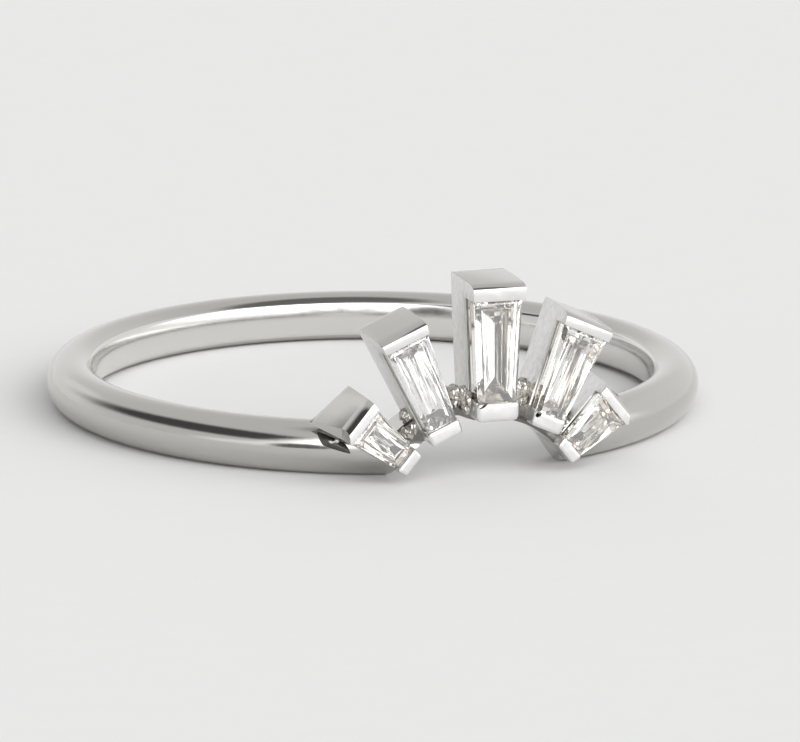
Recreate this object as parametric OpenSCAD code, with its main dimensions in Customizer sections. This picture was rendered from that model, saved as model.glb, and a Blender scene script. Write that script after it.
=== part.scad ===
// A ring whose front carries five tapered baguette stones, fanned like a crown.
// The ring lies on its side: the finger's axis is Z, the floor is Z = 0, and the stones face -Y.
// All sizes are in millimetres and all angles in degrees.

/* [Band] */
// Inside diameter, the size of the finger
inner_d = 16.7; // [16.3:0.1:17]
// Width of the band along the finger
band_w = 1.52; // [1.4:0.02:1.7]
// Thickness of the band outward from the finger, a little less than its width
band_t = 1.42; // [1.3:0.02:1.5]

/* [Arch] */
// Radius of the arch that the narrow ends of the settings stand on
arch_r = 2.98; // [2.9:0.02:3.1]
// Depth of the arch's centre below the floor
arch_drop = 1.17; // [1.1:0.01:1.25]
// Height of the rail that joins the settings
rail_h = 0.85; // [0.7:0.05:1]
// Thickness of the rail from front to back
rail_t = 1.05; // [0.8:0.05:1.2]
// How far the rail reaches below the settings
rail_below = 0.12; // [0.05:0.01:0.2]
// Distance from the front of the middle setting to the rail's front
rail_back = 0.84; // [0.7:0.02:0.9]
// Radius of the solder beads between the settings
bead_r = 0.19; // [0.12:0.01:0.22]

/* [Settings] */
// Distance from the finger's axis to the front of the middle setting
front_y = 10.89; // [10.8:0.01:11]
// Length of the middle setting
center_len = 3.88; // [3.5:0.02:4.2]
// Length of the left inner setting. The right one is 0.1 shorter.
inner_len = 3.4; // [3.1:0.02:3.7]
// Length of the two outer settings
outer_len = 2.2; // [2:0.02:2.4]
// Lean of the left inner setting. The right one leans 0.4 more.
inner_lean = 23.6; // [22:0.2:25]
// Lean of the two outer settings
outer_lean = 50.2; // [48.4:0.2:51.4]
// How far a cap's outside comes down from its back to its front
cap_fall = 0.13; // [0.08:0.01:0.18]
// Bevel along a cap's front edge
cap_bevel = 0.08; // [0.04:0.01:0.1]
// How much the back of an outer cap widens toward the band
shoulder_w = 0.28; // [0.2:0.01:0.4]
// Where that widening starts, as a part of the setting's length from its foot
shoulder_low = 0.45; // [0.35:0.05:0.55]

/* [Stones] */
// Gap between a stone's ends and the caps over them
stone_gap = 0.02; // [0.01:0.005:0.03]
// Distance from a setting's front to its stone's table
table_back = 0.04; // [0.03:0.01:0.06]

/* [Hidden] */
$fn = 96;
fine = 360;
over = 1;
left = -1;
right = 1;

inner_r = inner_d / 2;
outer_r = inner_r + band_t;
bow_r = band_w / 2;
rail_low_r = arch_r - rail_below;
rail_high_r = rail_low_r + rail_h;
rail_front_r = front_y - rail_back;
metal_top = arch_r - arch_drop + center_len + cap_fall;

// A setting's row: its lean, the x where it crosses the arch, how far it reaches below the arch, its
// length, its width at the wide end and at the narrow end, the heights of its cap and of its foot,
// how far its front stands behind the middle one's, and its depth from front to back.
CENTER = [0, 0, 0, center_len, 1.6, 1.22, 0.47, 0.56, 0, 1.9];
LEFT_INNER = [inner_lean, 1.44, 0.12, inner_len, 1.46, 0.95, 0.38, 0.44, 0.24, 1.94];
RIGHT_INNER = [inner_lean + 0.4, 1.5, 0, inner_len - 0.1, 1.56, 0.93, 0.38, 0.46, 0.24, 1.94];
OUTER = [outer_lean, 2.37, 0.14, outer_len, 1.36, 0.7, 0.36, 0.34, 0.62, 1.95];
function lean(s) = s[0];
function arch_x(s) = s[1];
function arch_z(s) = sqrt(pow(arch_r, 2) - pow(arch_x(s), 2)) - arch_drop;
function reach(s) = s[2];
function setting_len(s) = s[3];
function wide(s) = s[4];
function narrow(s) = s[5];
function cap_h(s) = s[6];
function foot_h(s) = s[7];
function set_back(s) = s[8];
function depth(s) = s[9];

// The five settings, each with its side of the fan
FAN = [[CENTER, right], [LEFT_INNER, left], [RIGHT_INNER, right], [OUTER, left], [OUTER, right]];

// What goes with a setting's size is a part of its width at the narrow end. The caps grip the stone a
// little less than its table is drawn in, so they stop short of the table.
function stone_grip(s) = 0.1 * narrow(s);
function wall_t(s) = 0.11 * narrow(s);
function wall_back(s) = 0.67 * narrow(s);
function side_slope(s) = (wide(s) - narrow(s)) / setting_len(s) / 2;
function half_width(s, z) = narrow(s) / 2 + side_slope(s) * z;

// A stone's steps from the table to the keel: how far behind the table, and how far in from the
// girdle, both as parts of the setting's width at the narrow end
STEPS = [[0, 0.13], [0.08, 0], [0.15, 0], [0.5, 0.03], [0.6, 0.16], [0.8, 0.32], [0.95, 0.46]];
function stone_low(s) = foot_h(s) - stone_grip(s);
function stone_high(s) = setting_len(s) - cap_h(s) + stone_grip(s);
function step_y(s, step) = table_back + step[0] * narrow(s);
function step_in(s, step) = step[1] * narrow(s);
function stone_back(s) = step_y(s, STEPS[len(STEPS) - 1]);

// Half the stone's width at z, drawn in by d. The leaning side moves in by a little more than d.
function stone_half(s, z, d) = half_width(s, z) - d * sqrt(1 + pow(side_slope(s), 2));
function stone_ring(s, y, d) = [
    for (corner = [[left, stone_low(s) + d], [right, stone_low(s) + d],
                   [right, stone_high(s) - d], [left, stone_high(s) - d]])
        [corner[0] * stone_half(s, corner[1], d), y, corner[1]]
];

// Puts a setting's own frame in the fan: x across it, y back from its front, z along it from its foot
module in_fan(s, side) {
    translate([side * arch_x(s), set_back(s) - front_y, arch_z(s)])
        rotate([0, side * lean(s), 0])
            translate([0, 0, -reach(s)])
                children();
}

// A slab with the setting's taper, drawn in by a margin, from z = low to high and y = near to far
module taper(s, low, high, near, far, margin) {
    translate([0, far, 0])
        rotate([90, 0, 0])
            linear_extrude(far - near)
                polygon([
                    [margin - half_width(s, low), low],
                    [half_width(s, low) - margin, low],
                    [half_width(s, high) - margin, high],
                    [margin - half_width(s, high), high]
                ]);
}

// Draws a flat outline, given as y and z, right across a setting
module across(s) {
    rotate([90, 0, 90])
        linear_extrude(4 * wide(s), center = true)
            children();
}

// The setting's outline from the side: flat at the back, rounding down to a bevelled front edge
module side_outline(s) {
    round_l = 0.42 * depth(s);
    round_r = (pow(round_l, 2) + pow(cap_fall, 2)) / (2 * cap_fall);
    lip = setting_len(s) - cap_bevel;
    difference() {
        square([depth(s), setting_len(s) + cap_fall]);
        difference() {
            translate([-over, lip])
                square([over + round_l, over]);
            translate([round_l, setting_len(s) + cap_fall - round_r])
                circle(round_r, $fn = fine);
        }
        translate([0, lip])
            rotate(45)
                translate([-over, 0])
                    square([2 * over, over]);
    }
}

// The setting with its caps and walls, before it is opened for the stone
module setting_body(s) {
    intersection() {
        taper(s, 0, setting_len(s) + cap_fall, 0, depth(s), 0);
        across(s)
            side_outline(s);
    }
}

// The stone's outline from the side, drawn out by the gap. It leaves the walls between the caps whole.
module seat_outline(s) {
    clear = stone_gap / 2;
    difference() {
        polygon([
            for (step = STEPS) [step_y(s, step), stone_low(s) + step_in(s, step) - stone_gap],
            for (n = [1 : len(STEPS)])
                let (step = STEPS[len(STEPS) - n])
                [step_y(s, step), stone_high(s) - step_in(s, step) + stone_gap]
        ]);
        translate([wall_back(s) - clear, foot_h(s) + clear])
            square([depth(s), setting_len(s) - cap_h(s) - foot_h(s) - 2 * clear]);
    }
}

module setting(s, side) {
    low = foot_h(s);
    high = setting_len(s) - cap_h(s);
    in_fan(s, side)
        difference() {
            setting_body(s);
            across(s)
                seat_outline(s);
            taper(s, low, high, -over, wall_back(s), -over);
            taper(s, low, high, 0, depth(s) + over, wall_t(s));
        }
}

// The space between a setting's walls that its stone takes up, which the rail is cut away for
module stone_room(s, side) {
    in_fan(s, side)
        taper(s, foot_h(s), setting_len(s) - cap_h(s), 0, stone_back(s) + stone_gap, wall_t(s));
}

// The wedge that widens an outer setting toward the band, from nothing in front to shoulder_w behind.
// It stands on the setting's lower side and leans with that side's taper.
module shoulder(s, side) {
    front = wall_back(s);
    in_fan(s, side)
        intersection() {
            across(s)
                side_outline(s);
            translate([side * narrow(s) / 2, 0, 0])
                rotate([0, side * atan(side_slope(s)), 0])
                    translate([0, 0, shoulder_low * setting_len(s)])
                        linear_extrude(setting_len(s))
                            polygon([
                                [-side * wall_t(s), front],
                                [side * shoulder_w * front / depth(s), front],
                                [side * shoulder_w, depth(s)],
                                [-side * wall_t(s), depth(s)]
                            ]);
        }
}

// The band as round wire. The finger hole flattens its inside.
module band() {
    rotate_extrude($fn = fine)
        translate([outer_r - bow_r, bow_r])
            circle(bow_r);
}

// A round bar along Y at the arch's centre, in front of the finger
module arch_bar(r) {
    translate([0, 0, -arch_drop])
        rotate([90, 0, 0])
            cylinder(r = r, h = front_y + over, $fn = fine);
}

// The rail under the narrow ends: an arch seen from the front, and a curved wall seen from above.
// Its ends stop inside the outer settings.
module rail() {
    intersection() {
        arch_bar(rail_high_r);
        translate([0, 0, arch_z(OUTER)])
            difference() {
                cylinder(r = rail_front_r, h = rail_high_r, $fn = fine);
                translate([0, 0, -over])
                    cylinder(r = rail_front_r - rail_t, h = rail_high_r + 2 * over, $fn = fine);
            }
    }
}

// A bead of radius r on the rail, at a radius and an angle on the arch and a depth behind the rail's front
module bead(arch_radius, angle, back, r) {
    x = arch_radius * sin(angle);
    translate([x, back - sqrt(pow(rail_front_r, 2) - pow(x, 2)), arch_radius * cos(angle) - arch_drop])
        sphere(r, $fn = 32);
}

// Solder between two neighbouring settings: a bead on top of the rail and a smaller one in front of it
module solder(angle) {
    small_r = 0.8 * bead_r;
    bead(rail_high_r - bead_r, angle, rail_t / 2, bead_r);
    bead(rail_high_r - 3 * bead_r, angle, small_r, small_r);
}

// The angle on the arch half way between the feet of two settings
function arch_angle(s) = asin(arch_x(s) / arch_r);
function between(s, t) = (arch_angle(s) + arch_angle(t)) / 2;

module finger_hole() {
    translate([0, 0, -over])
        cylinder(r = inner_r, h = metal_top + 2 * over, $fn = fine);
}

module band_and_settings() color("silver") {
    difference() {
        union() {
            difference() {
                union() {
                    band();
                    rail();
                }
                arch_bar(rail_low_r);
                for (place = FAN)
                    stone_room(place[0], place[1]);
            }
            for (place = FAN)
                setting(place[0], place[1]);
            for (side = [left, right]) {
                shoulder(OUTER, side);
                solder(side * between(CENTER, LEFT_INNER));
                solder(side * between(LEFT_INNER, OUTER));
            }
        }
        finger_hole();
    }
}

// A step-cut stone: its rings of four corners joined by flat facets
module stone(s, side) {
    rings = [for (step = STEPS) stone_ring(s, step_y(s, step), step_in(s, step))];
    last = 4 * (len(rings) - 1);
    color("white")
        in_fan(s, side)
            polyhedron(
                points = [for (ring = rings) each ring],
                faces = concat(
                    [[3, 2, 1, 0]],
                    [
                        for (first = [0 : 4 : last - 4], corner = [0 : 3])
                            let (next = (corner + 1) % 4)
                            [first + corner, first + next, first + 4 + next, first + 4 + corner]
                    ],
                    [[last, last + 1, last + 2, last + 3]]
                )
            );
}

band_and_settings();
stone(CENTER, right);  // stone_center
stone(LEFT_INNER, left);  // stone_left_inner
stone(RIGHT_INNER, right);  // stone_right_inner
stone(OUTER, left);  // stone_left_outer
stone(OUTER, right);  // stone_right_outer
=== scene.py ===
import math

import bmesh
import bpy
from mathutils import Matrix, Vector, noise


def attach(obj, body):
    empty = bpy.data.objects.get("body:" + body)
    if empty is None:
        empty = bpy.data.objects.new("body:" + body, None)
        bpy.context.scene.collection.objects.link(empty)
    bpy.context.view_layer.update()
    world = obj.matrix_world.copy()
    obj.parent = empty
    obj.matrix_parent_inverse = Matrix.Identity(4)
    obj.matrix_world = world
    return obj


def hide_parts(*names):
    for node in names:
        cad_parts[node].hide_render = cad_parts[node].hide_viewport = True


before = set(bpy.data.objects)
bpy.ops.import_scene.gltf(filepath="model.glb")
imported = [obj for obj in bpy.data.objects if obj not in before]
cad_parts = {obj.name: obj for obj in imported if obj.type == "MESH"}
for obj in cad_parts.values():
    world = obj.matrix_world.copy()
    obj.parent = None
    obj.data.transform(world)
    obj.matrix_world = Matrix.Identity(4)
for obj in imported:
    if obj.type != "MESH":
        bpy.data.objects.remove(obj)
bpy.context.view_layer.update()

# Everything is built in millimetres, as in the CAD, and turned into metres by finished()
MM = 0.001

# The CAD's sizes. The band's inside radius, its thickness, and the circle that its outside is bowed to
INNER_R = 8.35
BAND_T = 1.42
BOW_R = 0.76
BAND_MIDDLE_R = INNER_R + BAND_T - BOW_R
# The arch that the narrow ends stand on, and the distance from the axis to the middle setting's front
ARCH_R = 2.98
ARCH_DROP = 1.17
FRONT_Y = 10.89
# The rail: how far it reaches below the settings, its height and thickness, and how far back it stands
RAIL_BELOW = 0.12
RAIL_H = 0.85
RAIL_T = 1.05
RAIL_BACK = 0.84
RAIL_LOW_R = ARCH_R - RAIL_BELOW
RAIL_HIGH_R = RAIL_LOW_R + RAIL_H
RAIL_FRONT_R = FRONT_Y - RAIL_BACK
# How far a cap stands over its setting's length, the gap at a stone's ends, and the depth of its table
CAP_RISE = 0.13
GAP = 0.02
TABLE_BACK = 0.04

# What the CAD leaves out or has in a simpler form. The band's flat inside is bowed by so much over half
# its width.
INSIDE_BOW = 0.05
INSIDE_HALF = 0.4
# The rail's soft edges, how far it reaches along the arch to both sides, in degrees, and the course of
# its lower edge: degrees along the arch, and how far it lies above the low radius
RAIL_SOFT = 0.06
RAIL_REACH = 54
RAIL_EDGE = [
    (-RAIL_REACH, 0.3), (-43, 0.3), (-36, 0.02), (-30, 0.3), (-20, 0.36),
    (-16, 0.3), (-12, 0.14), (-8, 0.03), (RAIL_REACH, 0.0),
]
# A cap sags toward its front and rolls over at the edge, over a part of its depth. Its underside is
# lifted, so that the stone's crown shows.
CAP_SAG = 0.09
CAP_FALL = 0.1
CAP_ROLL = 0.26
CAP_BEVEL = 0.025
CAP_LIFT = 0.055
# The bevel of the other edges, how much wider a foot pad is than its setting on each side, and how much
# shorter than it from front to back
EDGE_BEVEL = 0.035
PAD_WIDER = 0.008
PAD_SHORTER = 0.01
# An outer cap's lower back corner is drawn out sideways and along the setting. That starts at a depth
# behind the front, and at a part of the length from the foot.
SHOULDER_WIDE = 0.14
SHOULDER_LONG = 0.27
SHOULDER_FROM = 0.5
SHOULDER_LOW = 0.45
# The slanted cut that is filed off an outer cap's lower edge. It goes as far past its front and back as
# the first number. There its corner lies so far above the setting's length, and it starts so far in.
FILED_PAST = 0.5
FILED_FRONT = (-0.11, 0.26)
FILED_BACK = (0.18, -0.05)
# Gaps at the corners of foot pads: across and up from the foot's middle, turn in degrees, half width
# and half height. All are as deep.
NOTCHES = {"center": (-0.44, 0.485, -26, 0.13, 0.035), "right_inner": (-0.38, 0.37, -66, 0.12, 0.07)}
NOTCH_DEEP = 0.16
# Half a width that goes right through any setting
THROUGH = 3


class Setting:
    """A setting's row of sizes, as in the CAD, and what follows from them. In its own frame x goes across
    it, y back from its front and z along it from its foot."""

    def __init__(self, name, side, lean, arch_x, reach, length, wide, narrow, cap_h, foot_h, set_back, depth):
        self.name, self.side, self.length, self.narrow = name, side, length, narrow
        self.cap_h, self.foot_h, self.depth = cap_h, foot_h, depth
        self.slope = (wide - narrow) / length / 2
        self.wall_t = 0.11 * narrow
        self.wall_back = 0.67 * narrow
        self.pad_round = 0.26 * foot_h
        stone_grip = 0.1 * narrow
        self.stone_low = foot_h - stone_grip
        self.stone_high = length - cap_h + stone_grip
        self.lean = math.radians(side * lean)
        arch_z = math.sqrt(ARCH_R ** 2 - arch_x ** 2) - ARCH_DROP
        self.place = (
            Matrix.Translation((side * arch_x, set_back - FRONT_Y, arch_z))
            @ Matrix.Rotation(self.lean, 4, "Y")
            @ Matrix.Translation((0, 0, -reach))
        )

    def half(self, z):
        """Half the setting's width."""
        return self.narrow / 2 + self.slope * z

    def room_half(self, z):
        """Half the width between the side walls."""
        return self.half(z) - self.wall_t

    def girdle_half(self, z):
        """Half the stone's width in front of the side walls."""
        return self.half(z) - self.wall_t / 2


# Each row: the name, the side of the fan, the lean in degrees, the x where it crosses the arch, how far
# it reaches below the arch, its length, its width at the wide and at the narrow end, the heights of its
# cap and of its foot, how far its front stands behind the middle one's, and its depth
OUTER = (50.2, 2.37, 0.14, 2.2, 1.36, 0.7, 0.36, 0.34, 0.62, 1.95)
SETTINGS = [
    Setting("center", 1, 0, 0, 0, 3.88, 1.6, 1.22, 0.47, 0.56, 0, 1.9),
    Setting("left_inner", -1, 23.6, 1.44, 0.12, 3.4, 1.46, 0.95, 0.38, 0.44, 0.24, 1.94),
    Setting("right_inner", 1, 24.0, 1.5, 0, 3.3, 1.56, 0.93, 0.38, 0.46, 0.24, 1.94),
    Setting("left_outer", -1, *OUTER),
    Setting("right_outer", 1, *OUTER),
]


# Mesh helpers

def linked(name, data):
    obj = bpy.data.objects.new(name, data)
    bpy.context.scene.collection.objects.link(obj)
    return obj


def new_object(name, verts, faces):
    """An object from its points and faces, with its normals turned outward."""
    mesh = bpy.data.meshes.new(name)
    mesh.from_pydata(verts, [], faces)
    mesh.validate()
    bm = bmesh.new()
    bm.from_mesh(mesh)
    bmesh.ops.recalc_face_normals(bm, faces=bm.faces)
    bm.to_mesh(mesh)
    bm.free()
    return linked(name, mesh)


def loft(name, sections, ring=False, folded=False):
    """A solid through sections of as many points each. Its two ends are its first faces, unless it is a
    closed ring. Sections that go out and come back are folded: each end is then a strip of faces."""
    n = len(sections[0])
    verts = [point for section in sections for point in section]
    ends = [] if ring else [0, len(verts) - n]
    if folded:
        faces = [[e + i, e + i + 1, e + n - 2 - i, e + n - 1 - i] for e in ends for i in range(n // 2 - 1)]
    else:
        faces = [list(range(e, e + n)) for e in ends]
    for j in range(len(sections) if ring else len(sections) - 1):
        near, far = j * n, (j + 1) % len(sections) * n
        faces += [[near + i, near + (i + 1) % n, far + (i + 1) % n, far + i] for i in range(n)]
    return new_object(name, verts, faces)


def prism(name, outline, half_width):
    """A slab across a setting: an outline in y and z, drawn out to half_width(z) on both sides."""
    return loft(name, [[(side * half_width(z), y, z) for y, z in outline] for side in (-1, 1)])


def slab(name, y0, y1, z0, z1, half_width):
    """A straight slab across a setting between two depths and two heights."""
    return prism(name, [(y0, z0), (y0, z1), (y1, z1), (y1, z0)], half_width)


def balls(name, places):
    """Unit balls, each put in its place by a matrix, as one object."""
    bm = bmesh.new()
    for place in places:
        bmesh.ops.create_icosphere(bm, subdivisions=3, radius=1, matrix=place)
    mesh = bpy.data.meshes.new(name)
    bm.to_mesh(mesh)
    bm.free()
    return linked(name, mesh)


def settle(obj):
    """Applies the object's modifiers."""
    seen = obj.evaluated_get(bpy.context.evaluated_depsgraph_get())
    mesh = bpy.data.meshes.new_from_object(seen)
    obj.modifiers.clear()
    obj.data = mesh


def combine(obj, tool, operation):
    cut = obj.modifiers.new("cut", "BOOLEAN")
    cut.operation = operation
    cut.solver = "EXACT"
    cut.object = tool
    settle(obj)
    bpy.data.objects.remove(tool)


def bevel(obj, width, segments=2):
    """Bevels the edges that turn by more than 28 degrees."""
    edge = obj.modifiers.new("bevel", "BEVEL")
    edge.width = width
    edge.segments = segments
    edge.limit_method = "ANGLE"
    edge.angle_limit = math.radians(28)
    edge.miter_outer = "MITER_ARC"
    settle(obj)


def smooth_by_angle(obj, angle=30):
    """Smooth shading, but for edges that turn by more than the angle."""
    bm = bmesh.new()
    bm.from_mesh(obj.data)
    for face in bm.faces:
        face.smooth = True
    for edge in bm.edges:
        edge.smooth = len(edge.link_faces) == 2 and edge.calc_face_angle() < math.radians(angle)
    bm.to_mesh(obj.data)
    bm.free()


def slice_faces(obj, cuts):
    """Cuts the faces along planes, each a point and a normal, so that they can bend."""
    bm = bmesh.new()
    bm.from_mesh(obj.data)
    for point, normal in cuts:
        everything = bm.verts[:] + bm.edges[:] + bm.faces[:]
        bmesh.ops.bisect_plane(bm, geom=everything, dist=1e-6, plane_co=point, plane_no=normal)
    bmesh.ops.triangulate(bm, faces=bm.faces)
    bm.to_mesh(obj.data)
    bm.free()


def clamped(value):
    return min(max(value, 0), 1)


def finished(obj, node, materials):
    """Turns a piece into metres, gives it its materials and lets it stand for its CAD node."""
    obj.data.transform(Matrix.Scale(MM, 4))
    obj.data.materials.clear()
    for material in materials:
        obj.data.materials.append(material)
    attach(obj, "root")
    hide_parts(node)


# The settings

def cap_top(s, y):
    """How far up a cap's outside is at depth y."""
    sag = CAP_SAG * (1 - y / s.depth) ** 2
    roll = CAP_FALL * max(0.0, 1 - y / (CAP_ROLL * s.depth)) ** 4
    return s.length + CAP_RISE - sag - roll


def side_outline(s):
    """A setting's outline from the side, in y and z, with finer steps where the cap rolls over. It stands
    in the foot pad, which is a slab of its own."""
    depths = [CAP_BEVEL]
    depths += [CAP_ROLL * s.depth * t / 12 for t in range(1, 13)]
    depths += [s.depth * t / 12 for t in range(4, 13)]
    in_pad, above, below = 0.9 * s.pad_round, s.foot_h + 0.05, 0.6 * s.foot_h
    outline = [(0, above), (0, cap_top(s, 0) - CAP_BEVEL)]
    outline += [(y, cap_top(s, y)) for y in depths]
    return outline + [(s.depth, below), (in_pad, below), (in_pad, above)]


def foot_pad(s):
    pad = slab("pad", 0, s.depth - PAD_SHORTER, 0, s.foot_h, lambda z: s.half(z) + PAD_WIDER)
    bevel(pad, s.pad_round, segments=6)
    return pad


def setting_metal(s):
    """The cap, the two side walls that stand back from its front, and the foot pad."""
    metal = prism("setting_" + s.name, side_outline(s), s.half)
    low, high = s.foot_h, s.length - s.cap_h + CAP_LIFT
    combine(metal, slab("front", -1, s.wall_back, low, high, lambda z: THROUGH), "DIFFERENCE")
    combine(metal, slab("room", 0, s.depth + 1, low, high, s.room_half), "DIFFERENCE")
    bevel(metal, EDGE_BEVEL)
    combine(metal, foot_pad(s), "UNION")
    combine(metal, stone_seat(s), "DIFFERENCE")
    if s.name in NOTCHES:
        combine(metal, balls("notch", [notch_place(s)]), "DIFFERENCE")
    if "outer" in s.name:
        combine(metal, filed_corner(s), "DIFFERENCE")
        spread_shoulder(metal, s)
    smooth_by_angle(metal)
    metal.data.transform(s.place)
    return metal


def notch_place(s):
    """Makes a unit ball the gap that is left between a foot pad's corner and the stone."""
    x, z, turn, wide, high = NOTCHES[s.name]
    turned = Matrix.Rotation(math.radians(turn), 4, "Y")
    return Matrix.Translation((x, TABLE_BACK, z)) @ turned @ Matrix.Diagonal((wide, NOTCH_DEEP, high, 1))


def filed_corner(s):
    """What is filed off an outer cap along its lower edge, more in front than behind."""
    sections = []
    for y, (rise, cut) in ((-FILED_PAST, FILED_FRONT), (s.depth + FILED_PAST, FILED_BACK)):
        x, top = s.half(s.length), s.length + rise
        wedge = ((x - cut - 1, top + 1), (x + 1, top - cut - 1), (x + 2, top + 2))
        sections.append([(s.side * across, y, z) for across, z in wedge])
    return loft("filed_corner", sections)


def spread_shoulder(obj, s):
    """Draws the lower back corner of an outer cap out and down to the band."""
    long, deep = 1 - SHOULDER_LOW, s.depth - SHOULDER_FROM
    cuts = [((0, 0, s.length * (SHOULDER_LOW + long * i / 5)), (0, 0, 1)) for i in range(5)]
    cuts += [((0, SHOULDER_FROM + deep * i / 6, 0), (0, 1, 0)) for i in range(6)]
    cuts += [((s.narrow * i, 0, 0), (1, 0, 0)) for i in (-0.4, 0, 0.4)]
    slice_faces(obj, cuts)
    for v in obj.data.vertices:
        back = clamped((v.co.y - SHOULDER_FROM) / deep)
        out = clamped((v.co.z / s.length - SHOULDER_LOW) / long)
        low = clamped(0.5 + s.side * v.co.x / (2 * s.half(v.co.z)))
        share = back * low * out * out * (3 - 2 * out)
        v.co.x += s.side * SHOULDER_WIDE * share
        v.co.z += SHOULDER_LONG * share


# The stones. The seat has the CAD's steps: how far behind the table, and how far in from the girdle,
# both as parts of the setting's width at the narrow end.
STEPS = [(0, 0.13), (0.08, 0), (0.15, 0), (0.5, 0.03), (0.6, 0.16), (0.8, 0.32), (0.95, 0.46)]
# The stone's rings of corners, from the table and the girdle's two edges to the keel: how far behind
# the table, the share of the half width, and how far in from the sides and from the ends
RINGS = [
    (0, 1, 0.13, 0.13), (0.08, 1, 0, 0), (0.15, 1, 0, 0),
    (0.5, 0.97, 0, 0.03), (0.64, 0.66, 0, 0.26), (0.8, 0.34, 0, 0.46), (0.95, 0, 0, 0.62),
]
# The girdle's last ring, and half the width that the keel keeps
GIRDLE = 2
KEEL_HALF = 0.004


def stone_seat(s):
    """The room that the stone needs in its setting, with the gap all round. It is wider as far back as the
    fourth step."""
    outline = []
    for back, inward in STEPS:
        outline.append((TABLE_BACK + back * s.narrow, s.stone_low + inward * s.narrow - GAP))
    for back, inward in reversed(STEPS):
        outline.append((TABLE_BACK + back * s.narrow, s.stone_high - inward * s.narrow + GAP))
    seat = prism("seat", outline, s.room_half)
    front = [p for p in outline if p[0] < TABLE_BACK + 0.55 * s.narrow]
    combine(seat, prism("seat_front", front, lambda z: s.girdle_half(z) + GAP), "UNION")
    return seat


def stone(s):
    """A baguette: table, crown, girdle, steep sides and a stepped pavilion that ends in a keel. The upright
    stone's steps lie deeper where it is wider."""
    sections = []
    for level, (back, share, side_in, end_in) in enumerate(RINGS):
        low, high = s.stone_low + end_in * s.narrow, s.stone_high - end_in * s.narrow
        section = []
        for side, z in ((-1, low), (1, low), (1, high), (-1, high)):
            deep = back * s.narrow
            if level > GIRDLE and s.lean == 0:
                deep *= s.girdle_half(z) / s.girdle_half(s.stone_high)
            half = share * (s.girdle_half(z) - side_in * s.narrow)
            section.append((side * max(half, KEEL_HALF), TABLE_BACK + deep, z))
        sections.append(section)
    gem = loft("diamond_" + s.name, sections)
    gem.data.transform(s.place)
    return gem


# The band and the rail

def band():
    """Wire of round section, flattened inside to the finger."""
    around, across = 512, 96
    section = []
    for i in range(across):
        a = 2 * math.pi * i / across
        rise = BOW_R * math.sin(a)
        inside = INNER_R + INSIDE_BOW * (rise / INSIDE_HALF) ** 2
        section.append((max(BAND_MIDDLE_R + BOW_R * math.cos(a), inside), BOW_R + rise))
    turns = [2 * math.pi * j / around for j in range(around)]
    sections = [[(r * math.sin(a), -r * math.cos(a), z) for r, z in section] for a in turns]
    return loft("band", sections, ring=True)


def arch_bar():
    """The bar that cuts the ring open in front, as round as the rail's low edge."""
    turns = [2 * math.pi * i / 180 for i in range(180)]
    circle = [(RAIL_LOW_R * math.sin(a), RAIL_LOW_R * math.cos(a) - ARCH_DROP) for a in turns]
    return loft("arch_bar", [[(x, y, z) for x, z in circle] for y in (-FRONT_Y - 1, 0)])


def rail_edge(degrees):
    for (a0, up0), (a1, up1) in zip(RAIL_EDGE, RAIL_EDGE[1:]):
        if a0 <= degrees <= a1:
            return up0 + (up1 - up0) * (degrees - a0) / (a1 - a0)
    return 0.0


def rail():
    """The curved plate under the narrow ends, as sections along the arch."""
    soft, high = RAIL_SOFT, RAIL_HIGH_R
    near, far = RAIL_FRONT_R, RAIL_FRONT_R - RAIL_T
    steps = 96
    sections = []
    for j in range(steps + 1):
        a = math.radians(RAIL_REACH) * (2 * j / steps - 1)
        low = RAIL_LOW_R + rail_edge(math.degrees(a))
        outline = [
            (low, near - soft), (low + soft, near), (high - soft, near), (high, near - soft),
            (high, far + soft), (high - soft, far), (low + soft, far), (low, far + soft),
        ]
        section = []
        for r, deep in outline:
            x = r * math.sin(a)
            section.append((x, -math.sqrt(deep ** 2 - x ** 2), r * math.cos(a) - ARCH_DROP))
        sections.append(section)
    return loft("rail", sections)


# The solder between the settings. Each lump has its place along the arch in degrees, its distance from
# the arch's centre, its depth behind the rail's front, and half its width, depth and height.
SOLDER = {
    "left": [
        (-11.5, 3.62, -0.28, 0.12, 0.18, 0.26), (-12.8, 3.76, -0.14, 0.19, 0.22, 0.28),
        (-15.4, 3.84, 0.0, 0.22, 0.26, 0.26), (-18.0, 3.84, 0.14, 0.18, 0.22, 0.24),
        (-12.4, 3.36, -0.2, 0.15, 0.14, 0.17), (-16.5, 3.56, -0.04, 0.2, 0.16, 0.15),
    ],
    "right": [
        (12.8, 3.80, -0.1, 0.18, 0.2, 0.32), (15.4, 3.84, 0.0, 0.22, 0.24, 0.30),
        (18.2, 3.78, 0.16, 0.22, 0.24, 0.28), (15.5, 3.50, -0.06, 0.22, 0.14, 0.18),
    ],
    "far_left": [
        (-42.2, 3.50, -0.06, 0.17, 0.18, 0.2), (-38.5, 3.42, 0.10, 0.2, 0.16, 0.2),
        (-37.0, 3.75, 0.34, 0.16, 0.2, 0.26),
    ],
    "far_right": [
        (41.0, 3.52, 0.06, 0.20, 0.16, 0.18), (44.4, 3.50, 0.10, 0.17, 0.16, 0.18),
        (41.5, 3.85, 0.42, 0.2, 0.2, 0.2), (43.0, 3.24, 0.0, 0.16, 0.1, 0.16),
    ],
}
# A bead of solder in the lighter satin copy of the metal, a painted highlight, on the painted shade patch
# where the band runs in under the left outer cap
SHOULDER_GLINT_BEAD = [(-60.9, 4.72, 0.26, 0.09, 0.09, 0.09), (-62.3, 4.82, 0.31, 0.07, 0.08, 0.11)]
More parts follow.
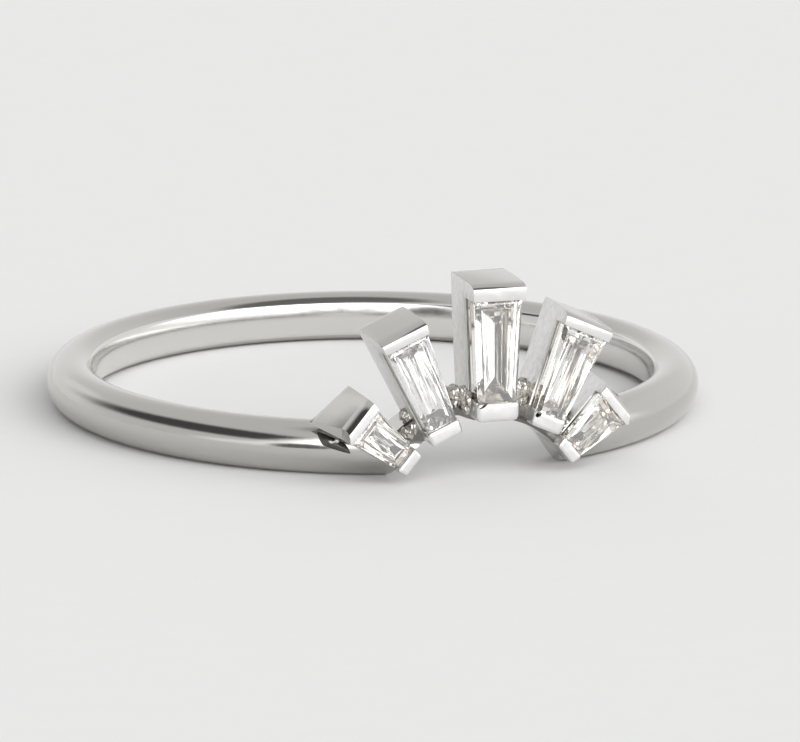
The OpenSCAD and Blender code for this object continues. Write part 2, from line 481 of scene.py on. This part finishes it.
# The painted shade patch, a low dark dome on the band where it runs in under the left outer cap: its
# four corners, in degrees round the ring from the front to the left and in degrees up the band's section,
# the height of its dome, and how far in the band its rim and its underside lie
SHADE_PATCH_RING = ((27.5, 28.9), (22.3, 23.5))
SHADE_PATCH_RISE = ((14, 50), (-4, 22))
SHADE_PATCH_DOME = 0.08
SHADE_PATCH_SUNK = 0.006
SHADE_PATCH_DEEP = 0.1


def lump_place(degrees, r, deep, wide, back, high):
    """Makes a unit ball a lump of solder."""
    a = math.radians(degrees)
    x = r * math.sin(a)
    centre = (x, deep - math.sqrt(RAIL_FRONT_R ** 2 - x ** 2), r * math.cos(a) - ARCH_DROP)
    return Matrix.Translation(centre) @ Matrix.Rotation(a, 4, "Y") @ Matrix.Diagonal((wide, back, high, 1))


def solder(name, lumps, rough=1.0, flow=6):
    """Melted lumps run together by so many rounds of smoothing, with a ridged skin that is more or less
    rough."""
    obj = balls(name, [lump_place(*lump) for lump in lumps])
    melt = obj.modifiers.new("melt", "REMESH")
    melt.mode = "VOXEL"
    melt.voxel_size = 0.02
    obj.modifiers.new("flow", "SMOOTH").iterations = flow
    settle(obj)
    for v in obj.data.vertices:
        ridge = noise.noise(Vector((v.co.x * 11, v.co.y * 5, v.co.z * 4)))
        fine = noise.noise(v.co * 13 + Vector((2, 9, 4)))
        v.co += v.normal * rough * (0.07 * ridge + 0.03 * fine)
    for face in obj.data.polygons:
        face.use_smooth = True
    return obj


def band_point(ring, rise, out):
    """A point on the band: degrees round the ring, degrees up its section, and how far out of its surface."""
    a, b = math.radians(ring), math.radians(rise)
    r = BAND_MIDDLE_R + (BOW_R + out) * math.cos(b)
    return -r * math.sin(a), -r * math.cos(a), BOW_R + (BOW_R + out) * math.sin(b)


def between(corners, u, v):
    """The value at u and v, both from 0 to 1, between four corners."""
    (a, b), (c, d) = corners
    return (a + (c - a) * u) * (1 - v) + (b + (d - b) * u) * v


def left_shade_patch():
    """A low, dark dome just proud of the band where it runs in under the left outer cap: painted shade."""
    steps = [i / 16 for i in range(17)]
    sections = []
    for u in steps:
        top, under = [], []
        for v in steps:
            ring, rise = between(SHADE_PATCH_RING, u, v), between(SHADE_PATCH_RISE, u, v)
            dome = 16 * u * (1 - u) * v * (1 - v)
            top.append(band_point(ring, rise, SHADE_PATCH_DOME * dome - SHADE_PATCH_SUNK))
            under.append(band_point(ring, rise, -SHADE_PATCH_DEEP))
        sections.append(top + under[::-1])
    shade_patch = loft("painted_shade_patch_left", sections, folded=True)
    smooth_by_angle(shade_patch, 60)
    return shade_patch


# Materials

def feed(tree, node, inputs):
    """Sets a node's inputs to values, or links them to other nodes' outputs."""
    for name, value in inputs.items():
        if isinstance(value, bpy.types.NodeSocket):
            tree.links.new(value, node.inputs[name])
        else:
            node.inputs[name].default_value = value


def add_node(tree, kind, inputs, **settings):
    node = tree.nodes.new("ShaderNode" + kind)
    for name, value in settings.items():
        setattr(node, name, value)
    feed(tree, node, inputs)
    return node


def principled(name, inputs):
    material = bpy.data.materials.new(name)
    material.use_nodes = True
    shader = material.node_tree.nodes["Principled BSDF"]
    feed(material.node_tree, shader, inputs)
    return material, material.node_tree, shader


def add_grain(tree, inputs, mapping, **settings):
    """Noise that sits on the piece, turned and drawn out by the mapping."""
    place = add_node(tree, "TexCoord", {}).outputs["Object"]
    spread = add_node(tree, "Mapping", {"Vector": place, **mapping}, **settings)
    return add_node(tree, "TexNoise", {"Vector": spread.outputs["Vector"], **inputs}).outputs["Fac"]


def add_tint(tree, share, colour, other):
    """A colour that goes to the other one by the share."""
    colours = {"Factor": share, "A": (*colour, 1), "B": (*other, 1)}
    return add_node(tree, "Mix", colours, data_type="RGBA").outputs["Result"]


def metal_material(name, colour, roughness, bump, scale, uneven, stretch=(1, 1, 1), lean=0.0):
    """Polished, brushed or cast metal. The grain is drawn out by stretch, along a setting that leans."""
    material, tree, shader = principled(name, {"Metallic": 1.0})
    mapping = {"Rotation": (0, lean, 0), "Scale": [MM / v for v in stretch]}
    grain = add_grain(tree, {"Scale": scale, "Detail": 4}, mapping, vector_type="TEXTURE")
    rough = {"Value": grain, "To Min": 0.7 * roughness, "To Max": 1.3 * roughness}
    relief = {"Height": grain, "Strength": bump, "Distance": 0.02 * MM}
    feed(tree, shader, {
        "Roughness": add_node(tree, "MapRange", rough).outputs["Result"],
        "Base Color": add_tint(tree, grain, [c * (1 - uneven) for c in colour], colour),
        "Normal": add_node(tree, "Bump", relief).outputs["Normal"],
    })
    return material


def diamond_material():
    """Clear diamond, with a small share of milky light."""
    look = {"IOR": 2.42, "Roughness": 0.0, "Transmission Weight": 0.92, "Base Color": (1, 0.995, 0.985, 1)}
    return principled("diamond_clear", look)[0]


def facet_material(name, colour, dark, size, amount, stretch):
    """A pavilion facet that sends light back as a tinted mirror, with fine specks, or with streaks up the
    stone: painted reflections.
    """
    material, tree, shader = principled(name, {"Metallic": 1.0, "Roughness": 0.04})
    mapping = {"Scale": (1, 1, 1 / stretch)}
    grain = add_grain(tree, {"Scale": 1 / (size * MM), "Detail": 3}, mapping)
    edge = {"Value": grain, "From Min": 0.62 - 0.3 * amount, "From Max": 0.72 - 0.3 * amount}
    speck = add_node(tree, "MapRange", edge).outputs["Result"]
    feed(tree, shader, {"Base Color": add_tint(tree, speck, colour, dark)})
    return material


def floor_material():
    """Pale board with a faint grain that runs sideways."""
    material, tree, shader = principled("floor_white", {"Roughness": 0.9, "Specular IOR Level": 0.1})
    mapping = {"Scale": (0.3 / MM, 1 / MM, 1 / MM)}
    grain = add_grain(tree, {"Scale": 1.4, "Detail": 6, "Roughness": 0.65}, mapping)
    feed(tree, shader, {"Base Color": add_tint(tree, grain, (0.748, 0.748, 0.744), (0.768, 0.768, 0.764))})
    return material


# The metal's finishes: the colour, the roughness, the relief of the grain and its scale, and how uneven
# the colour is
METAL_FINISHES = {
    "polished": ((0.575, 0.565, 0.54), 0.12, 0.05, 6, 0.03),
    # The band's inside: a lighter copy of the polished metal, painted light
    "inside": ((0.74, 0.73, 0.71), 0.16, 0.05, 6, 0.03),
    "solder": ((0.74, 0.71, 0.66), 0.22, 0.5, 9, 0.45),
    # An outer setting's far side: a darker copy of the polished metal, painted shade
    "recess": ((0.36, 0.35, 0.335), 0.16, 0.4, 5, 0.5),
    # The rail's forward faces: a darker copy of the polished metal, painted shade
    "rail_front_painted_shade": ((0.27, 0.265, 0.25), 0.2, 0.3, 4, 0.5),
    # The darkest copy of the metal, painted shade, in the notches' gaps and on the patch under the left outer
    # cap
    "shade": ((0.14, 0.135, 0.125), 0.35, 0.2, 5, 0.4),
    # Satin: a rougher finish, in a much lighter copy of the metal on the cap fronts, the foot pads and the
    # bead, partly real, partly painted light
    "satin_painted_light": ((0.9, 0.895, 0.885), 0.4, 0.35, 3.2, 0.12),
}
# Brushed side walls: a real grain drawn out along the setting, in a copy of the metal lighter than the
# polished one, painted light
BRUSHED_PAINTED_LIGHT = ((1.0, 0.995, 0.98), 0.32, 1.6, 6, 0.4, (1.2, 1.6, 0.8))
SETTING_FINISHES = ["polished", "brushed", "satin_painted_light", "recess", "shade"]

# What a facet behind the girdle sends back, as a tinted mirror whose tints, specks and streaks are painted
# reflections: its colour, the colour of its specks, their size and amount, and how far they are drawn out
# up the stone
PAINTED_FACET_REFLECTIONS = {
    "white": ((1.0, 1.0, 1.0), (0.93, 0.925, 0.91), 0.05, 0.15, 1),
    "cream": ((1.0, 0.99, 0.97), (0.95, 0.91, 0.84), 0.05, 0.2, 1),
    "golden": ((0.99, 0.97, 0.93), (0.76, 0.65, 0.5), 0.05, 0.35, 1),
    "grey": ((0.93, 0.93, 0.94), (0.78, 0.78, 0.78), 0.05, 0.3, 1),
    "speckled": ((0.97, 0.965, 0.96), (0.62, 0.59, 0.56), 0.04, 0.35, 1),
    "streaked": ((1.0, 1.0, 0.995), (0.22, 0.218, 0.22), 0.045, 0.3, 30),
    "peach": ((1.0, 0.965, 0.93), (0.93, 0.82, 0.7), 0.05, 0.3, 1),
    "rosy": ((0.96, 0.92, 0.89), (0.99, 0.96, 0.93), 0.05, 0.3, 1),
}
# The four facets on each side of a stone, from the steep one by the girdle to the one by the keel
SIDES = ["low", "right", "high", "left"]
FACET_PLAN = {
    "center": {
        "low": ["cream", "cream", "rosy", "rosy"],
        "right": ["streaked", "grey", "streaked", "speckled"],
        "high": ["cream", "peach", "cream", "white"],
        "left": ["golden", "streaked", "streaked", "white"],
    },
    "left_inner": {
        "low": ["cream", "cream", "white", "white"],
        "right": ["white", "grey", "speckled", "white"],
        "high": ["white", "speckled", "grey", "white"],
        "left": ["white", "white", "white", "white"],
    },
    "right_inner": {
        "low": ["white", "white", "rosy", "rosy"],
        "right": ["white", "white", "grey", "cream"],
        "high": ["cream", "white", "rosy", "peach"],
        "left": ["golden", "white", "cream", "white"],
    },
    "left_outer": {
        "low": ["white", "peach", "white", "white"],
        "right": ["white", "white", "grey", "white"],
        "high": ["white", "peach", "peach", "white"],
        "left": ["cream", "peach", "cream", "white"],
    },
    "right_outer": {
        "low": ["peach", "peach", "peach", "cream"],
        "right": ["white", "cream", "white", "white"],
        "high": ["cream", "peach", "cream", "white"],
        "left": ["cream", "white", "cream", "white"],
    },
}


# The metal pieces

def add_metal(obj, finishes):
    finished(obj, "band_and_settings", finishes)


def add_band(golds):
    """The ring, whose inside gets a lighter copy of the polished metal: painted light."""
    ring = band()
    combine(ring, arch_bar(), "DIFFERENCE")
    smooth_by_angle(ring)
    add_metal(ring, [golds["polished"], golds["inside"]])
    # Faces that look in toward the axis get the lighter copy: painted light
    for face in ring.data.polygons:
        if face.center.xy.dot(face.normal.xy) < -0.7 * face.center.xy.length:
            face.material_index = 1


def add_rail(golds):
    """The rail, whose faces that look forward get a darker copy of the polished metal: painted shade."""
    plate = rail()
    smooth_by_angle(plate)
    add_metal(plate, [golds["polished"], golds["rail_front_painted_shade"]])
    for face in plate.data.polygons:
        # Forward-looking faces get the darker copy: painted shade
        if face.normal.y < -0.3:
            face.material_index = 1


def setting_finish(s, face):
    """The finish of a setting's face, by where it is and which way it looks: painted shade in a notch's gap,
    satin with painted light in front, painted shade on an outer setting's far side, brushed with painted
    light on the other sides and polished elsewhere."""
    spot = s.place.inverted() @ (face.center / MM)
    looks = s.place.to_3x3().transposed() @ face.normal
    on_pad = spot.z < s.foot_h and spot.y < 0.6 * s.pad_round
    # Faces in a notch's gap get the darkest copy of the metal: painted shade
    if s.name in NOTCHES and (notch_place(s).inverted() @ spot).length < 1.02:
        return "shade"
    # Cap fronts and foot pads' fronts get the lighter satin copy: partly a satin finish, partly painted light
    if on_pad and looks.y < -0.5 or spot.y < 0.01 and looks.y < -0.9:
        return "satin_painted_light"
    # An outer setting's far side gets a darker copy of the metal: painted shade
    if "outer" in s.name and looks.x * s.side > 0.85:
        return "recess"
    # Faces that look sideways get the lighter brushed copy: a real brushed grain with painted light
    return "brushed" if abs(looks.x) > 0.9 else "polished"


def add_setting(s, golds):
    obj = setting_metal(s)
    brushed = metal_material("white_gold_brushed_" + s.name, *BRUSHED_PAINTED_LIGHT, lean=s.lean)
    finishes = {**golds, "brushed": brushed}
    add_metal(obj, [finishes[name] for name in SETTING_FINISHES])
    for face in obj.data.polygons:
        face.material_index = SETTING_FINISHES.index(setting_finish(s, face))


def add_solder(golds):
    for name, lumps in SOLDER.items():
        add_metal(solder("solder_" + name, lumps), [golds["solder"]])
    # The bead gets the lighter satin copy of the metal: a painted highlight
    add_metal(solder("solder_shoulder_bead_painted_glint", SHOULDER_GLINT_BEAD, rough=0.15, flow=60), [golds["satin_painted_light"]])
    # The patch under the left outer cap gets the darkest copy of the metal: painted shade
    add_metal(left_shade_patch(), [golds["shade"]])


# A stone's faces are its table, its keel, and then four for each step from ring to ring. The table and the
# faces as far as the girdle stay clear.

def add_stone(s, diamond, facets):
    gem = stone(s)
    finished(gem, "stone_" + s.name, [diamond, *facets.values()])
    names = list(facets)
    gem.data.polygons[1].material_index = 1 + names.index("white")
    for index, face in enumerate(gem.data.polygons[2 + 4 * GIRDLE:]):
        level, side = divmod(index, 4)
        face.material_index = 1 + names.index(FACET_PLAN[s.name][SIDES[side]][level])


# The floor, in metres

def add_floor():
    half = 1.5
    corners = [(-half, -half, 0), (half, -half, 0), (half, half, 0), (-half, half, 0)]
    floor = new_object("floor", corners, [[0, 1, 2, 3]])
    floor.data.materials.append(floor_material())


# The studio's light, as a sky that depends on the direction only. Each patch has an azimuth and an
# elevation in degrees, half its width and half its height in degrees, how much of that is its soft
# edge, and the brightness that it takes the sky to. Azimuth 0 is in front of the stones, 90 on the right.
SKY_BASE = 0.74
SKY_PATCHES = {
    "far_side": (165, 8, 70, 28, 0.8, 0.81),
    "far_low": (180, 6, 45, 14, 0.6, 0.92),
    "far_left": (-156, 20, 15, 11, 0.6, 0.98),
    "right_side": (105, 15, 40, 30, 0.8, 0.9),
    "near_horizon": (-52, 4, 30, 10, 0.6, 1.1),
    "dark_strip": (-86, 38, 52, 14, 0.55, 0.08),
    "window": (14, 34, 56, 26, 0.4, 3.1),
    "ceiling": (50, 78, 24, 23, 0.4, 0.2),
    "camera_side": (-43, 7, 11, 11, 0.5, 0.16),
}


def add_patch(tree, way, level, azimuth, elevation, wide, high, soft, bright):
    """Takes the sky's level to the patch's brightness, by how near a direction is to the patch's middle."""
    turn = (0, math.radians(-elevation), math.radians(azimuth - 90))
    size = (1, math.sin(math.radians(wide)), math.sin(math.radians(high)))
    mapping = {"Vector": way, "Rotation": turn, "Scale": size}
    seen = add_node(tree, "Mapping", mapping, vector_type="TEXTURE").outputs["Vector"]
    parts = add_node(tree, "SeparateXYZ", {"Vector": seen}).outputs
    sideways = add_node(tree, "CombineXYZ", {"Y": parts["Y"], "Z": parts["Z"]}).outputs["Vector"]
    off = add_node(tree, "VectorMath", {0: sideways}, operation="LENGTH").outputs["Value"]
    edge = {"Value": off, "From Min": 1 + soft / 2, "From Max": 1 - soft / 2}
    near = add_node(tree, "MapRange", edge, interpolation_type="SMOOTHSTEP").outputs["Result"]
    ahead = add_node(tree, "Math", {0: parts["X"], 1: 0}, operation="GREATER_THAN").outputs["Value"]
    share = add_node(tree, "Math", {0: near, 1: ahead}, operation="MULTIPLY").outputs["Value"]
    return add_node(tree, "Mix", {"Factor": share, "A": level, "B": bright}).outputs["Result"]


def add_sky():
    world = bpy.data.worlds.new("studio")
    bpy.context.scene.world = world
    world.use_nodes = True
    tree = world.node_tree
    way = add_node(tree, "TexCoord", {}).outputs["Generated"]
    level = SKY_BASE
    for patch in SKY_PATCHES.values():
        level = add_patch(tree, way, level, *patch)
    feed(tree, tree.nodes["Background"], {"Color": (1, 1, 1, 1), "Strength": level})


# The camera, at the photograph's angle. It looks at a point to the right of and above the origin, in its
# own picture. The focal length is in pixels of a picture that is 800 wide.
AZIMUTH, ELEVATION, ROLL = (math.radians(angle) for angle in (-19.372, 12.667, 0.393))
DISTANCE = 160.0
TARGET = (0.822, 0.936)
FOCAL_PX = 5320.6
PICTURE_WIDE = 800
SENSOR = 36.0


def add_camera():
    level = math.cos(ELEVATION)
    back = Vector((math.sin(AZIMUTH) * level, -math.cos(AZIMUTH) * level, math.sin(ELEVATION)))
    right = Vector((math.cos(AZIMUTH), math.sin(AZIMUTH), 0))
    up = back.cross(right)
    target = right * TARGET[0] + up * TARGET[1]
    rolled_right = right * math.cos(ROLL) + up * math.sin(ROLL)
    rolled_up = up * math.cos(ROLL) - right * math.sin(ROLL)
    turn = Matrix((rolled_right, rolled_up, back)).transposed().to_4x4()
    data = bpy.data.cameras.new("camera")
    data.sensor_fit = "HORIZONTAL"
    data.sensor_width = SENSOR
    data.lens = FOCAL_PX / PICTURE_WIDE * SENSOR
    data.clip_start = 0.01
    data.clip_end = 10
    camera = linked("camera", data)
    camera.matrix_world = Matrix.Translation((target + back * DISTANCE) * MM) @ turn
    bpy.context.scene.camera = camera


golds = {name: metal_material("white_gold_" + name, *look) for name, look in METAL_FINISHES.items()}
facets = {name: facet_material("facet_" + name, *look) for name, look in PAINTED_FACET_REFLECTIONS.items()}
diamond = diamond_material()
add_band(golds)
add_rail(golds)
for s in SETTINGS:
    add_setting(s, golds)
add_solder(golds)
for s in SETTINGS:
    add_stone(s, diamond, facets)
add_floor()
add_sky()
add_camera()

scene = bpy.context.scene
scene.view_settings.view_transform = "Standard"
scene.cycles.max_bounces = 24
scene.cycles.diffuse_bounces = 12
scene.cycles.glossy_bounces = 16
scene.cycles.transmission_bounces = 16
